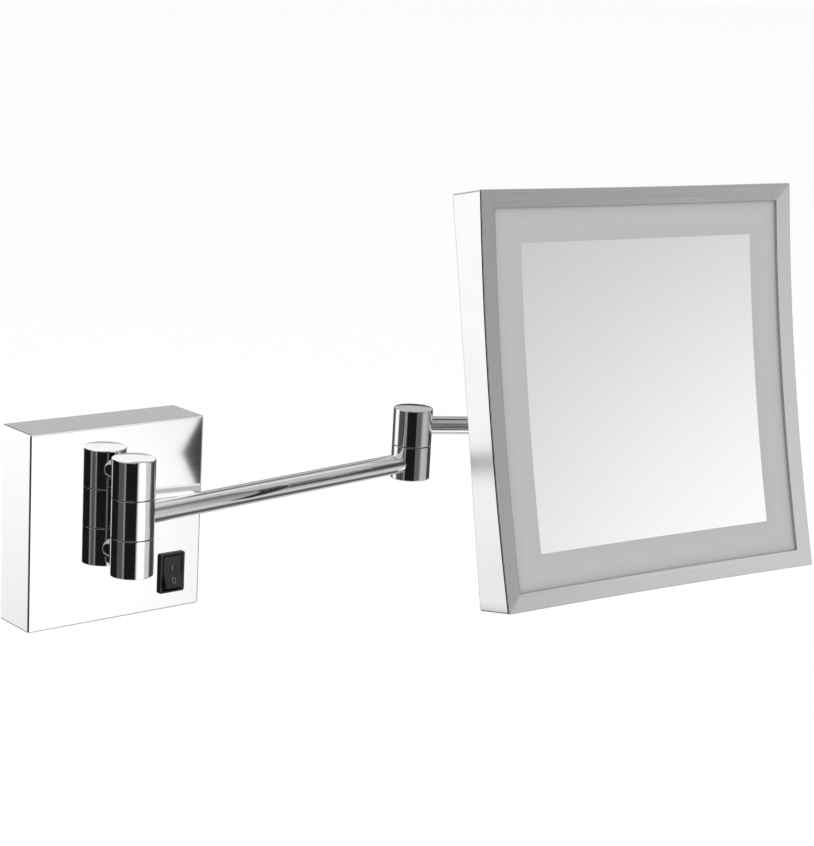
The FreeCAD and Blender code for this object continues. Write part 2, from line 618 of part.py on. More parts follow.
part("tilt_pin", fuse("tilt_pin_solid",
                      cylinder("tilt_pin_shank", "hinge_pin_radius",
                               f"2 * ({pinReach}) + hinge_nut_height + hinge_pin_end",
                               f"-({pinReach}) - hinge_nut_height - hinge_pin_end", 0, 0, alongX),
                      cylinder("tilt_pin_head", "hinge_head_radius", "hinge_head_height", pinReach, 0, 0,
                               alongX)), headFrame)
part("tilt_nut", cut("tilt_nut_solid",
                     hexagon("tilt_nut_hex", "hinge_head_radius", "hinge_nut_height",
                             f"-({pinReach}) - hinge_nut_height", 0, 0, alongX),
                     cylinder("tilt_nut_thread", "hinge_pin_radius", "long_cut", "-long_cut / 2", 0, 0,
                              alongX)), headFrame)
tiltWasher = "ear_gap - tilt_washer_play"
tiltWashers = [cut("tilt_washer",
                   cylinder("tilt_washer_disc", "lug_radius - tilt_washer_inset", tiltWasher,
                            f"{side} * (lug_width / 2 + ear_gap / 2) - ({tiltWasher}) / 2", 0, 0, alongX),
                   cylinder("tilt_washer_hole", "hinge_pin_radius", "long_cut", "-long_cut / 2", 0, 0,
                            alongX))
               for side in (-1, 1)]
group("tilt_washers", tiltWashers, headFrame)
bracketScrews = [fuse("bracket_screw",
                      cylinder("bracket_screw_shank", "small_screw_radius", "plate_thickness + head_wall",
                               x, "-hinge_standoff + plate_thickness", z, towardsRoom),
                      cylinder("bracket_screw_head", "small_head_radius", "small_head_height", x,
                               "-hinge_standoff + plate_thickness + small_head_height", z, towardsRoom))
                 for x, z in plateScrewPoints]
group("bracket_screws", bracketScrews, headFrame)

# ---- head: shells, light and mirror, all dished to one sphere ----

backPlane = "-hinge_standoff"
rimPlane = "-hinge_standoff - head_depth"
cornerReach = "(head_size / sqrt(2))"
ballMiddle = f"{rimPlane} + mirror_curve - sqrt(mirror_curve ^ 2 - {cornerReach} ^ 2) - mirror_curve"


def roundedBlock(name, side, depth, back):
    """A square block with its four corner edges, along Y, slightly rounded."""
    raw = block(name, side, depth, side, 0, f"{back} - ({depth})", 0)
    doc.recompute()
    rounded = doc.addObject("Part::Fillet", name + "_rounded")
    rounded.Base = raw
    lengthwise = [number for number, edge in enumerate(raw.Shape.Edges, start=1)
                  if abs(edge.Curve.Direction.y) > 0.9]
    rounded.Edges = [(number, size("head_rounding"), size("head_rounding")) for number in lengthwise]
    return rounded


def sheetOfGlass(name, recess, thickness):
    """The dished layer that starts a recess behind the rim's own dish."""
    return cut(name, ball(name + "_far", f"mirror_curve + {recess} + {thickness}", ballMiddle),
               ball(name + "_near", f"mirror_curve + {recess}", ballMiddle))


def frameTools(name, width):
    """A square block long enough to cut right through the head."""
    return block(name, width, "long_cut", width, 0, f"{rimPlane} - long_cut / 2", 0)


shell = cut("back_shell_solid", roundedBlock("shell_block", "head_size", "head_depth", backPlane),
            ball("shell_dish", "mirror_curve + bezel_thickness", ballMiddle),
            block("shell_hollow", "head_size - 2 * head_wall", "long_cut", "head_size - 2 * head_wall", 0,
                  f"{backPlane} - head_wall - long_cut", 0),
            *[cylinder("shell_screw_hole", "small_screw_radius", "head_wall + 2 * cut_margin", x,
                       f"{backPlane} + cut_margin", z, towardsRoom)
              for x, z in plateScrewPoints])
part("back_shell", shell, headFrame)

bezelFace = common("bezel_face", roundedBlock("bezel_block", "head_size", "head_depth", backPlane),
                   sheetOfGlass("bezel_layer", 0, "bezel_thickness"))
skirtSize = "head_size - 2 * (head_wall + skirt_play)"
skirt = common("bezel_skirt",
               frameTools("skirt_block", skirtSize),
               sheetOfGlass("skirt_layer", "bezel_thickness - skirt_overlap", "skirt_depth"))
skirtRing = cut("skirt_ring", skirt,
                frameTools("skirt_inside", f"{skirtSize} - 2 * skirt_wall"))
part("front_bezel", cut("front_bezel_solid", fuse("bezel_body", bezelFace, skirtRing),
                        frameTools("bezel_opening", "head_size - 2 * bezel_rim")), headFrame)

part("mirror_glass", common("glass_solid", frameTools("glass_block", "glass_size"),
                            sheetOfGlass("glass_layer", "glass_recess", "glass_thickness")), headFrame)
gasket = common("gasket_body", frameTools("gasket_block", "glass_size"),
                sheetOfGlass("gasket_layer", "glass_recess + glass_thickness", "gasket_thickness"))
part("glass_gasket", cut("gasket_ring", gasket,
                         frameTools("gasket_inside", "glass_size - 2 * gasket_width")), headFrame)

trayBack = f"{backPlane} - tray_depth"
part("inner_tray", cut("inner_tray_solid",
                       block("tray_plate", "tray_size", "tray_thickness", "tray_size", 0,
                             f"{trayBack} - tray_thickness", 0),
                       cylinder("tray_wire_hole", "cable_radius", "long_cut", 0, backPlane,
                                "-tray_wire_drop", towardsRoom)),
     headFrame)
boardFront = f"{trayBack} - tray_thickness - board_thickness"
chipRow = "board_length - 2 * chip_margin"
boards, chips = [], []
for side in (-1, 1):
    for across in (False, True):
        x, z = (0, f"{side} * board_spacing") if across else (f"{side} * board_spacing", 0)
        uprightLength = "board_length - 2 * (board_width + board_gap)"
        boards.append(block("led_board", "board_length" if across else "board_width", "board_thickness",
                            "board_width" if across else uprightLength, x, boardFront, z))
        for step in range(int(size("chips_per_board"))):
            along = f"({step} - (chips_per_board - 1) / 2) * ({chipRow}) / chips_per_board"
            chipX, chipZ = (along, z) if across else (x, along)
            chips.append(block("led_chip", "chip_size", "chip_height", "chip_size", chipX,
                               f"{boardFront} - chip_height", chipZ))
group("led_boards", boards, headFrame)
group("led_chips", chips, headFrame)
diffuserPlate = block("diffuser_plate", "diffuser_outer", "diffuser_thickness", "diffuser_outer", 0,
                      f"{backPlane} - diffuser_back - diffuser_thickness", 0)
part("light_diffuser", cut("diffuser_ring", diffuserPlate, frameTools("diffuser_inside", "diffuser_inner")),
     headFrame)

# ---- checks and export ----

doc.recompute()
for thing in doc.Objects:
    if "Invalid" in thing.State or "Error" in thing.State:
        raise RuntimeError(f"{thing.Name} ({thing.Label}) failed: {thing.State}")
os.makedirs("parts", exist_ok=True)
for thing in parts:
    shape = thing.Shape
    if shape.isNull() or not shape.isValid() or not shape.Solids:
        raise RuntimeError(thing.Label + " has no valid shape")
    shape.exportStep(f"parts/{thing.Label}.step")
    box = shape.BoundBox
    print(f"{thing.Label:24s} {len(shape.Solids):3d} solids {shape.Volume:10.1f} mm3  "
          f"x {box.XMin:7.1f} {box.XMax:7.1f}  y {box.YMin:7.1f} {box.YMax:7.1f}  "
          f"z {box.ZMin:6.1f} {box.ZMax:6.1f}")
print(len(parts), "parts")
print("pivot", pivotPoint, "elbow", elbowPoint, "swivel", swivelPoint, "hinge", hingePoint)
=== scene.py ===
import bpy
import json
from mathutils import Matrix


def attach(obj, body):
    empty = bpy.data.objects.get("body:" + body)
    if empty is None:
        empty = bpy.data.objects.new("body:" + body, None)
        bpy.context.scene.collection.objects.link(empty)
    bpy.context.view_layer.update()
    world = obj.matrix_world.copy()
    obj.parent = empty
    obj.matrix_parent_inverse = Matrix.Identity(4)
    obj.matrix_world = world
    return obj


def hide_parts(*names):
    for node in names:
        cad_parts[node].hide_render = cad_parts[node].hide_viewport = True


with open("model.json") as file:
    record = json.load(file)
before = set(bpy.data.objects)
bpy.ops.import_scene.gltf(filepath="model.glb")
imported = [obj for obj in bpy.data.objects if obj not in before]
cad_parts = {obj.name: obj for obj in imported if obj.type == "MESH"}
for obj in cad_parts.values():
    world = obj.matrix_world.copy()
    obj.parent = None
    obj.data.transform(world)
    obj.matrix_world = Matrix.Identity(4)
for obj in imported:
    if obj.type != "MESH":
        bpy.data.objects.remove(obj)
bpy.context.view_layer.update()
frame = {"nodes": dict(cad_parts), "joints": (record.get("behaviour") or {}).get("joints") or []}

import json
import math

import bmesh
import bpy
import numpy as np
from mathutils import Matrix, Vector

# A lit square magnifying mirror on a chrome swing arm.  New pieces are drawn in millimetres in
# the axes of the group that they move with, then carried into the model's frame as whole arrays.

mm = 0.001
joints = {joint["name"]: joint for joint in frame["joints"]}
pivotOf = {name: np.array(joint["pos_m"]) / mm for name, joint in joints.items()}

groupTurns = {"headTilt": -12.2, "rockerTilt": -12}        # degrees about X, at rest


def turnAboutZ(angle):
    c, s = math.cos(angle), math.sin(angle)
    return np.array([[c, -s, 0], [s, c, 0], [0, 0, 1]])


def turnAboutX(angle):
    c, s = math.cos(angle), math.sin(angle)
    return np.array([[1, 0, 0], [0, c, -s], [0, s, c]])


def headingOf(step):
    return math.atan2(step[1], step[0])


# each group's axes and origin: the arm and the rod lie along their own local X
armTurn = turnAboutZ(headingOf(pivotOf["elbow_swing"] - pivotOf["arm_swing"]))
linkTurn = turnAboutZ(headingOf(pivotOf["head_swivel"] - pivotOf["elbow_swing"]))
swivelTurn = turnAboutZ(headingOf(joints["head_tilt"]["axis"]))
wallFrame = (np.eye(3), np.zeros(3))
pivotFrame = (np.eye(3), pivotOf["arm_swing"])
armFrame = (armTurn, pivotOf["arm_swing"])
elbowFrame = (armTurn, pivotOf["elbow_swing"])
linkFrame = (linkTurn, pivotOf["elbow_swing"])
linkEndFrame = (linkTurn, pivotOf["head_swivel"])
swivelFrame = (swivelTurn, pivotOf["head_swivel"])
headFrame = (swivelTurn @ turnAboutX(math.radians(groupTurns["headTilt"])), pivotOf["head_tilt"])
rockerFrame = (turnAboutX(math.radians(groupTurns["rockerTilt"])), pivotOf["rocker_press"])


# quads (r, c) (r, c+1) (r+1, c+1) (r+1, c) of a grid whose columns close on themselves
def gridFaces(rows, columns, closedRows):
    r = np.arange(rows if closedRows else rows - 1)[:, None]
    c = np.arange(columns)[None, :]
    across, down = (c + 1) % columns, (r + 1) % rows
    quads = [r * columns + c, r * columns + across, down * columns + across, down * columns + c]
    return np.stack([quad.ravel() for quad in quads], 1)


# corner values of a strip map: u is the distance round at each column edge, v across at each row
def stripMap(around, across, rows, columns, closedRows):
    r = np.repeat(np.arange(rows if closedRows else rows - 1), columns)
    c = np.tile(np.arange(columns), len(r) // columns)
    u = np.stack([around[c], around[c + 1], around[c + 1], around[c]], 1)
    v = np.stack([across[r], across[r], across[r + 1], across[r + 1]], 1)
    return np.stack([u, v], 2).reshape(-1, 2)


# One mesh from several grids of shape (rows, columns, 3).  Doubles are merged, which closes the
# seams and poles, before the faces are turned outwards.
def makePiece(name, grids, place, body, materials, stands=(), sharp=38, closedRows=True,
              cornerMap=None, rowZones=None):
    turn, origin = place
    points, faces, base = [], [], 0
    for grid in grids:
        rows, columns, _ = grid.shape
        points.append((grid.reshape(-1, 3) @ turn.T + origin) * mm)
        faces.append(gridFaces(rows, columns, closedRows) + base)
        base += rows * columns
    mesh = bpy.data.meshes.new(name)
    mesh.from_pydata(np.concatenate(points).tolist(), [], np.concatenate(faces).tolist())
    if cornerMap is not None:
        mesh.uv_layers.new(name="surface").data.foreach_set("uv", cornerMap.ravel())
    for entry in materials:
        mesh.materials.append(entry)
    if rowZones is not None:
        mesh.polygons.foreach_set("material_index", np.repeat(rowZones, columns).astype(np.int32))
    work = bmesh.new()
    work.from_mesh(mesh)
    bmesh.ops.remove_doubles(work, verts=work.verts, dist=1e-6)
    bmesh.ops.dissolve_degenerate(work, edges=work.edges, dist=1e-7)
    bmesh.ops.recalc_face_normals(work, faces=work.faces)
    work.to_mesh(mesh)
    work.free()
    mesh.shade_smooth()
    mesh.set_sharp_from_angle(angle=math.radians(sharp))
    piece = bpy.data.objects.new(name, mesh)
    bpy.context.scene.collection.objects.link(piece)
    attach(piece, body)
    if stands:
        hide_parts(*stands)
    return piece


# (centre + radius cos a, centre + radius sin a) for a between two angles in degrees
def arc(centre, radius, start, end, count=7):
    angle = np.radians(np.linspace(start, end, count))
    return np.stack([centre[0] + radius * np.cos(angle), centre[1] + radius * np.sin(angle)], 1)


# a profile point (radius, height) goes to (radius cos a, radius sin a, height), about z, x or y
def turned(profile, axis="z", count=128):
    angle = np.linspace(0, 2 * np.pi, count, endpoint=False)
    radius, height = profile[:, 0:1], profile[:, 1:2]
    x, y, z = radius * np.cos(angle), radius * np.sin(angle), height + 0 * angle
    order = {"z": (x, y, z), "x": (z, x, y), "y": (y, z, x)}[axis]
    return np.stack(order, 2)


# A ring's closed section: a straight bore and two outer edges, each a quarter circle.  The
# points a hair beside each quarter circle keep the flat ends and the straight side unbent.
def barrelProfile(foot, head, outer, inner, footEdge, headEdge, hair=0.05):
    return np.concatenate([
        [[inner, foot], [outer - footEdge - hair, foot]],
        arc((outer - footEdge, foot + footEdge), footEdge, -90, 0),
        [[outer, foot + footEdge + hair], [outer, head - headEdge - hair]],
        arc((outer - headEdge, head - headEdge), headEdge, 0, 90),
        [[outer - headEdge - hair, head], [inner, head]]])


# A rounded rectangle in x and z, with the same number of points whatever its size: quarter
# circles at the corners, and evenly spaced points between them.
def squareRing(halfX, halfZ, radius, centre=(0, 0), perSide=24, perCorner=7):
    radius = min(radius, halfX, halfZ)
    sweep = np.linspace(0, np.pi / 2, perCorner)
    corners = [np.stack([sx * (halfX - radius) + radius * np.cos(sweep + quarter * np.pi / 2),
                         sz * (halfZ - radius) + radius * np.sin(sweep + quarter * np.pi / 2)], 1)
               for quarter, (sx, sz) in enumerate(((1, 1), (-1, 1), (-1, -1), (1, -1)))]
    step = np.linspace(0, 1, perSide + 2)[1:-1, None]
    stretches = []
    for quarter in range(4):
        here, following = corners[quarter], corners[(quarter + 1) % 4]
        stretches += [here, here[-1] * (1 - step) + following[0] * step]
    return np.concatenate(stretches) + np.array(centre)


# rings of (x, z) at their depths y, as one grid; a depth is one number or one for each point
def ringStack(rings, depths):
    return np.stack([np.stack([ring[:, 0], np.broadcast_to(depth, ring[:, 0].shape), ring[:, 1]], 1)
                     for ring, depth in zip(rings, depths)])


# distance round a closed ring at each point, ending with the whole way round
def distanceRound(ring):
    step = np.linalg.norm(np.roll(ring, -1, axis=0) - ring, axis=1)
    return np.concatenate([[0], np.cumsum(step)])


print("frames and mesh functions ready")

cameraView = {"place": (-542.51, -883.04, 282.00), "yaw": 40.398, "pitch": 12.533, "roll": 3.144,
              "lens": 92.11, "sensor": 36, "reach": 200}

# The view direction from yaw and pitch; right and up are then rolled about it.
yaw, pitch, roll = (math.radians(cameraView[key]) for key in ("yaw", "pitch", "roll"))
forward = Vector((math.sin(yaw) * math.cos(pitch), math.cos(yaw) * math.cos(pitch), -math.sin(pitch)))
level = Vector((math.cos(yaw), -math.sin(yaw), 0))
upright = level.cross(forward)
right = level * math.cos(roll) + upright * math.sin(roll)
up = upright * math.cos(roll) - level * math.sin(roll)
cameraData = bpy.data.cameras.new("camera")
cameraData.sensor_fit = "HORIZONTAL"
cameraData.sensor_width = cameraView["sensor"]
cameraData.lens = cameraView["lens"]
cameraData.clip_end = cameraView["reach"]
camera = bpy.data.objects.new("camera", cameraData)
camera.matrix_world = Matrix.Translation(Vector(cameraView["place"]) * mm) @ Matrix(
    (right, up, -forward)).transposed().to_4x4()
bpy.context.scene.collection.objects.link(camera)
bpy.context.scene.camera = camera
bpy.context.scene.view_settings.view_transform = "Standard"
print("camera ready")


def addNode(tree, kind, inputs=None, **settings):
    node = tree.nodes.new(kind)
    for key, value in settings.items():
        setattr(node, key, value)
    for socket, value in (inputs or {}).items():
        if isinstance(value, bpy.types.NodeSocket):
            tree.links.new(value, node.inputs[socket])
        else:
            node.inputs[socket].default_value = value
    return node


def mathNode(tree, operation, first, second=0.0):
    return addNode(tree, "ShaderNodeMath", {0: first, 1: second}, operation=operation).outputs[0]


def mapRange(tree, value, low, high, newLow, newHigh):
    return addNode(tree, "ShaderNodeMapRange", {0: value, 1: low, 2: high, 3: newLow, 4: newHigh},
                   interpolation_type="SMOOTHSTEP").outputs[0]


def mixNumbers(tree, factor, first, second):
    return addNode(tree, "ShaderNodeMix", {0: factor, 2: first, 3: second}).outputs[0]


def noiseNode(tree, vector, scale, detail=2.0, roughness=0.5):
    return addNode(tree, "ShaderNodeTexNoise", {"Vector": vector, "Scale": scale, "Detail": detail,
                                                "Roughness": roughness}).outputs[0]


def bumpNode(tree, height, distance):
    return addNode(tree, "ShaderNodeBump", {"Height": height, "Distance": distance}).outputs[0]


# The studio that shows in the chrome: softboxes and dark flags standing round the object.  Each
# card has a heading and a height in degrees (the middle, then half its size), how soft its two
# pairs of edges are, and a brightness.  Later cards stand in front of earlier ones.
studio = {"backdrop": 0.985, "fill": 1.03, "room": 0.55}
cards = {
    "backFlag": {"heading": (82, 28), "height": (-10, 50), "soft": (16, 16), "brightness": 0.12},
    "backWall": {"heading": (165, 28), "height": (-14, 20), "soft": (14, 12), "brightness": 0.08},
    "leftBox": {"heading": (125, 14), "height": (11, 31), "soft": (14, 20), "brightness": 1.1},
    "rightFlag": {"heading": (20, 66), "height": (-6, 15), "soft": (20, 8), "brightness": 0.06},
    "rightGrey": {"heading": (-30, 18), "height": (20, 18), "soft": (14, 14), "brightness": 0.15},
    "frontBox": {"heading": (-72, 23), "height": (0, 75), "soft": (32, 10), "brightness": 1.2},
    "glassBox": {"heading": (-56, 11), "height": (12, 14), "soft": (6, 10), "brightness": 1.05},
    "glassDip": {"heading": (-56, 11), "height": (-2, 8.6), "soft": (6, 7), "brightness": 0.42},
    "topGrey": {"heading": (62, 30), "height": (20, 10), "soft": (10, 6), "brightness": 0.52},
    "overhead": {"heading": (3, 13), "height": (50, 7), "soft": (14, 7), "brightness": 0.72},
    "topFlag": {"heading": (35, 10), "height": (42, 9), "soft": (10, 8), "brightness": 0.2},
    "lowCard": {"heading": (-36, 16), "height": (-22, 11), "soft": (14, 8), "brightness": 0.6},
    "lowFlag": {"heading": (-8, 26), "height": (-50, 12), "soft": (14, 8), "brightness": 0.11},
    "lowRight": {"heading": (38, 14), "height": (-38, 8), "soft": (14, 8), "brightness": 0.6},
    "zenith": {"heading": (0, 180), "height": (90, 20), "soft": (4, 14), "brightness": 0.05},
    "blackFlag": {"heading": (-132, 32), "height": (-8, 34), "soft": (12, 12), "brightness": 0.01},
    "highFlag": {"heading": (-101, 9), "height": (33, 35), "soft": (6, 6), "brightness": 0.03},
    "footFlag": {"heading": (-101, 9), "height": (-40, 18), "soft": (6, 6), "brightness": 0.04},
}
smallFlag = {"heading": (-54.7, 1.2), "height": (-13.6, 2.4), "soft": 0.08, "brightness": 0.04}


# how far a heading is from a card's middle, the short way round
def headingGap(heading, middle):
    wrapped = mathNode(sky, "FLOORED_MODULO", mathNode(sky, "ADD", heading, 540 - middle), 360)
    return mathNode(sky, "ABSOLUTE", mathNode(sky, "SUBTRACT", wrapped, 180))


# a card's mask is the product of two, across and up: each is 1 inside and falls over its soft edge
def placeCard(behind, heading, height, card):
    acrossGap = headingGap(heading, card["heading"][0])
    upGap = mathNode(sky, "ABSOLUTE", mathNode(sky, "SUBTRACT", height, card["height"][0]))
    sides = []
    for gap, half, soft in ((acrossGap, card["heading"][1], card["soft"][0]),
                            (upGap, card["height"][1], card["soft"][1])):
        sides.append(mapRange(sky, gap, half - soft / 2, half + soft / 2, 1, 0))
    return mixNumbers(sky, mathNode(sky, "MULTIPLY", *sides), behind, card["brightness"])


world = bpy.data.worlds.new("studio")
world.use_nodes = True
bpy.context.scene.world = world
sky = world.node_tree
direction = addNode(sky, "ShaderNodeSeparateXYZ", {
    0: addNode(sky, "ShaderNodeTexCoord").outputs["Generated"]})
toDegrees = 180 / math.pi
heading = mathNode(sky, "MULTIPLY", mathNode(sky, "ARCTAN2", direction.outputs[1], direction.outputs[0]),
                   toDegrees)
height = mathNode(sky, "MULTIPLY", mathNode(sky, "ARCSINE", direction.outputs[2]), toDegrees)
reflected = studio["room"]
for card in cards.values():
    reflected = placeCard(reflected, heading, height, card)

# a small flag hung by its corner: |across| / half + |up| / half is 1 along its four edges
acrossShare = mathNode(sky, "DIVIDE", headingGap(heading, smallFlag["heading"][0]),
                       smallFlag["heading"][1])
upGap = mathNode(sky, "ABSOLUTE", mathNode(sky, "SUBTRACT", height, smallFlag["height"][0]))
upShare = mathNode(sky, "DIVIDE", upGap, smallFlag["height"][1])
diamond = mapRange(sky, mathNode(sky, "ADD", acrossShare, upShare), 1 - smallFlag["soft"] / 2,
                   1 + smallFlag["soft"] / 2, 1, 0)
reflected = mixNumbers(sky, diamond, reflected, smallFlag["brightness"])
rays = addNode(sky, "ShaderNodeLightPath")
seen = mixNumbers(sky, rays.outputs["Is Glossy Ray"], studio["fill"], reflected)
seen = mixNumbers(sky, rays.outputs["Is Camera Ray"], seen, studio["backdrop"])
sky.links.new(seen, sky.nodes["Background"].inputs["Color"])

lamps = {
    "key": {"place": (-0.9, -1.3, 1.5), "aim": (0.15, -0.05, 0.05), "side": 1.2, "power": 4},
    "side": {"place": (1.4, -1.1, 0.9), "aim": (0.15, -0.05, 0.05), "side": 1.0, "power": 2},
}
for name, lamp in lamps.items():
    light = bpy.data.lights.new(name, "AREA")
    light.size = lamp["side"]
    light.energy = lamp["power"]
    lightObject = bpy.data.objects.new(name, light)
    place = Vector(lamp["place"])
    lightObject.location = place
    lightObject.rotation_euler = (Vector(lamp["aim"]) - place).to_track_quat("-Z", "Y").to_euler()
    lightObject.visible_glossy = False
    bpy.context.scene.collection.objects.link(lightObject)

floorValues = {"height": -0.7, "half": 60, "color": (0.98, 0.98, 0.98)}
floorMesh = bpy.data.meshes.new("floor")
half, low = floorValues["half"], floorValues["height"]
floorMesh.from_pydata([(-half, -half, low), (half, -half, low), (half, half, low), (-half, half, low)],
                      [], [(0, 1, 2, 3)])
floor = bpy.data.objects.new("floor", floorMesh)
floor.visible_glossy = False
bpy.context.scene.collection.objects.link(floor)
print("studio ready")


def nodeGroup(name, inputs, outputs):
    group = bpy.data.node_groups.new(name, "ShaderNodeTree")
    for label, value in inputs.items():
        socket = group.interface.new_socket(name=label, in_out="INPUT", socket_type="NodeSocketFloat")
        socket.default_value = value
    for label, kind in outputs.items():
        group.interface.new_socket(name=label, in_out="OUTPUT", socket_type=kind)
    return group, group.nodes.new("NodeGroupInput").outputs, group.nodes.new("NodeGroupOutput").inputs


wipeValues = {"stretch": 2.6, "speckScale": 900.0, "speckShare": 0.6, "rippleScale": 34.0,
              "rippleDepth": 0.001}

# Wipe marks: roughness = base + strength x (smooth patches + speckShare x fine specks), and a
# ripple that is a slow noise used as height.
wipeMarks, wipeIn, wipeOut = nodeGroup(
    "wipeMarks", {"Base Roughness": 0.04, "Strength": 0.05, "Scale": 12.0, "Ripple": 0.02},
    {"Roughness": "NodeSocketFloat", "Normal": "NodeSocketVector"})
wipePlace = addNode(wipeMarks, "ShaderNodeTexCoord").outputs["Object"]
wipeLean = addNode(wipeMarks, "ShaderNodeMapping",
                   {"Vector": wipePlace, "Rotation": (0.3, 0.5, 0.2),
                    "Scale": (1.0, 1.0, wipeValues["stretch"])}).outputs[0]
patches = mapRange(wipeMarks, noiseNode(wipeMarks, wipeLean, wipeIn["Scale"], 4.0), 0.45, 0.75, 0, 1)
specks = mathNode(wipeMarks, "MULTIPLY", noiseNode(wipeMarks, wipeLean, wipeValues["speckScale"], 3.0),
                  wipeValues["speckShare"])
marks = mathNode(wipeMarks, "MULTIPLY", mathNode(wipeMarks, "ADD", patches, specks), wipeIn["Strength"])
wipeMarks.links.new(mathNode(wipeMarks, "ADD", wipeIn["Base Roughness"], marks), wipeOut["Roughness"])
ripple = mathNode(wipeMarks, "MULTIPLY",
                  noiseNode(wipeMarks, wipePlace, wipeValues["rippleScale"], 1.0), wipeIn["Ripple"])
wipeMarks.links.new(bumpNode(wipeMarks, ripple, wipeValues["rippleDepth"]), wipeOut["Normal"])

grainValues = {"unevenScale": 60.0, "depth": 0.0002}

# Moulded grain: a fine pebble used as height, and roughness = base + spread x (patches - 0.5).
mouldGrain, grainIn, grainOut = nodeGroup(
    "mouldGrain", {"Base Roughness": 0.4, "Spread": 0.12, "Scale": 2500.0, "Depth": 0.4},
    {"Roughness": "NodeSocketFloat", "Normal": "NodeSocketVector"})
grainPlace = addNode(mouldGrain, "ShaderNodeTexCoord").outputs["Object"]
pebble = mathNode(mouldGrain, "MULTIPLY", noiseNode(mouldGrain, grainPlace, grainIn["Scale"]),
                  grainIn["Depth"])
mouldGrain.links.new(bumpNode(mouldGrain, pebble, grainValues["depth"]), grainOut["Normal"])
uneven = mathNode(mouldGrain, "SUBTRACT",
                  noiseNode(mouldGrain, grainPlace, grainValues["unevenScale"], 3.0), 0.5)
mouldGrain.links.new(mathNode(mouldGrain, "ADD", grainIn["Base Roughness"],
                              mathNode(mouldGrain, "MULTIPLY", uneven, grainIn["Spread"])),
                     grainOut["Roughness"])

# Tone: the colour moves between two tints with a slow noise, as plating and mouldings do.
toneShift = bpy.data.node_groups.new("toneShift", "ShaderNodeTree")
for label, kind in (("Dark", "NodeSocketColor"), ("Light", "NodeSocketColor"),
                    ("Scale", "NodeSocketFloat")):
    toneShift.interface.new_socket(name=label, in_out="INPUT", socket_type=kind)
toneShift.interface.new_socket(name="Color", in_out="OUTPUT", socket_type="NodeSocketColor")
toneIn = toneShift.nodes.new("NodeGroupInput").outputs
toneOut = toneShift.nodes.new("NodeGroupOutput").inputs
tonePlace = addNode(toneShift, "ShaderNodeTexCoord").outputs["Object"]
toneMix = addNode(toneShift, "ShaderNodeMix", data_type="RGBA")
toneShift.links.new(noiseNode(toneShift, tonePlace, toneIn["Scale"], 3.0), toneMix.inputs[0])
toneShift.links.new(toneIn["Dark"], toneMix.inputs[6])
toneShift.links.new(toneIn["Light"], toneMix.inputs[7])
toneShift.links.new(toneMix.outputs[2], toneOut["Color"])


# A finish: its tone feeds Base Color, and its surface group feeds Roughness and Normal.
def finish(name, color, metallic, surface, values, toneScale=18.0, toneSpread=0.03):
    material = bpy.data.materials.new(name)
    material.use_nodes = True
    tree = material.node_tree
    shader = tree.nodes["Principled BSDF"]
    shader.inputs["Metallic"].default_value = metallic
    tone = addNode(tree, "ShaderNodeGroup", node_tree=toneShift)
    tone.inputs["Dark"].default_value = (*[c * (1 - toneSpread) for c in color], 1)
    tone.inputs["Light"].default_value = (*[min(1, c * (1 + toneSpread)) for c in color], 1)
    tone.inputs["Scale"].default_value = toneScale
    tree.links.new(tone.outputs["Color"], shader.inputs["Base Color"])
    relief = addNode(tree, "ShaderNodeGroup", node_tree=surface)
    for label, value in values.items():
        relief.inputs[label].default_value = value
    tree.links.new(relief.outputs["Roughness"], shader.inputs["Roughness"])
    tree.links.new(relief.outputs["Normal"], shader.inputs["Normal"])
    return material


def metal(name, color, roughness, strength, scale, ripple):
    return finish(name, color, 1.0, wipeMarks, {"Base Roughness": roughness, "Strength": strength,
                                                "Scale": scale, "Ripple": ripple})


def plastic(name, color, roughness, scale, depth):
    return finish(name, color, 0.0, mouldGrain, {"Base Roughness": roughness, "Scale": scale,
                                                 "Depth": depth}, toneSpread=0.08)


finishes = {
    "polished_chrome": metal("polishedChrome", (0.93, 0.935, 0.94), 0.02, 0.012, 12.0, 0.003),
    "plain_steel": metal("plainSteel", (0.56, 0.57, 0.58), 0.24, 0.12, 60.0, 0.02),
    "zinc_steel": metal("zincSteel", (0.55, 0.56, 0.57), 0.36, 0.14, 40.0, 0.04),
    "tray_metal": metal("trayMetal", (0.74, 0.75, 0.76), 0.33, 0.12, 20.0, 0.02),
    "contact_brass": metal("contactBrass", (0.66, 0.50, 0.24), 0.28, 0.15, 80.0, 0.02),
    "switch_black": plastic("switchBlack", (0.007, 0.007, 0.008), 0.42, 3000.0, 0.2),
    "soft_black": plastic("softBlack", (0.02, 0.02, 0.02), 0.72, 900.0, 0.7),
    "washer_plastic": plastic("washerPlastic", (0.018, 0.018, 0.019), 0.55, 1600.0, 0.4),
    "white_plastic": plastic("whitePlastic", (0.78, 0.78, 0.76), 0.45, 1800.0, 0.5),
    "opal_plastic": plastic("opalPlastic", (0.84, 0.84, 0.82), 0.50, 1500.0, 0.2),
    "board_white": plastic("boardWhite", (0.80, 0.81, 0.80), 0.36, 1200.0, 0.2),
    "led_yellow": plastic("ledYellow", (0.84, 0.69, 0.21), 0.40, 4000.0, 0.3),
    "wire_sheath": plastic("wireSheath", (0.06, 0.06, 0.065), 0.50, 1400.0, 0.5),
}
floorPaint = finish("floorPaint", floorValues["color"], 0.0, mouldGrain,
                    {"Base Roughness": 0.9, "Spread": 0.05, "Scale": 40.0, "Depth": 0.02}, toneSpread=0.004)
floorMesh.materials.append(floorPaint)
switchMark = plastic("switchMark", (0.16, 0.17, 0.19), 0.5, 3000.0, 0.2)
chrome = finishes["polished_chrome"]
shellChrome = metal("shellChrome", (0.95, 0.95, 0.955), 0.22, 0.03, 12.0, 0.003)


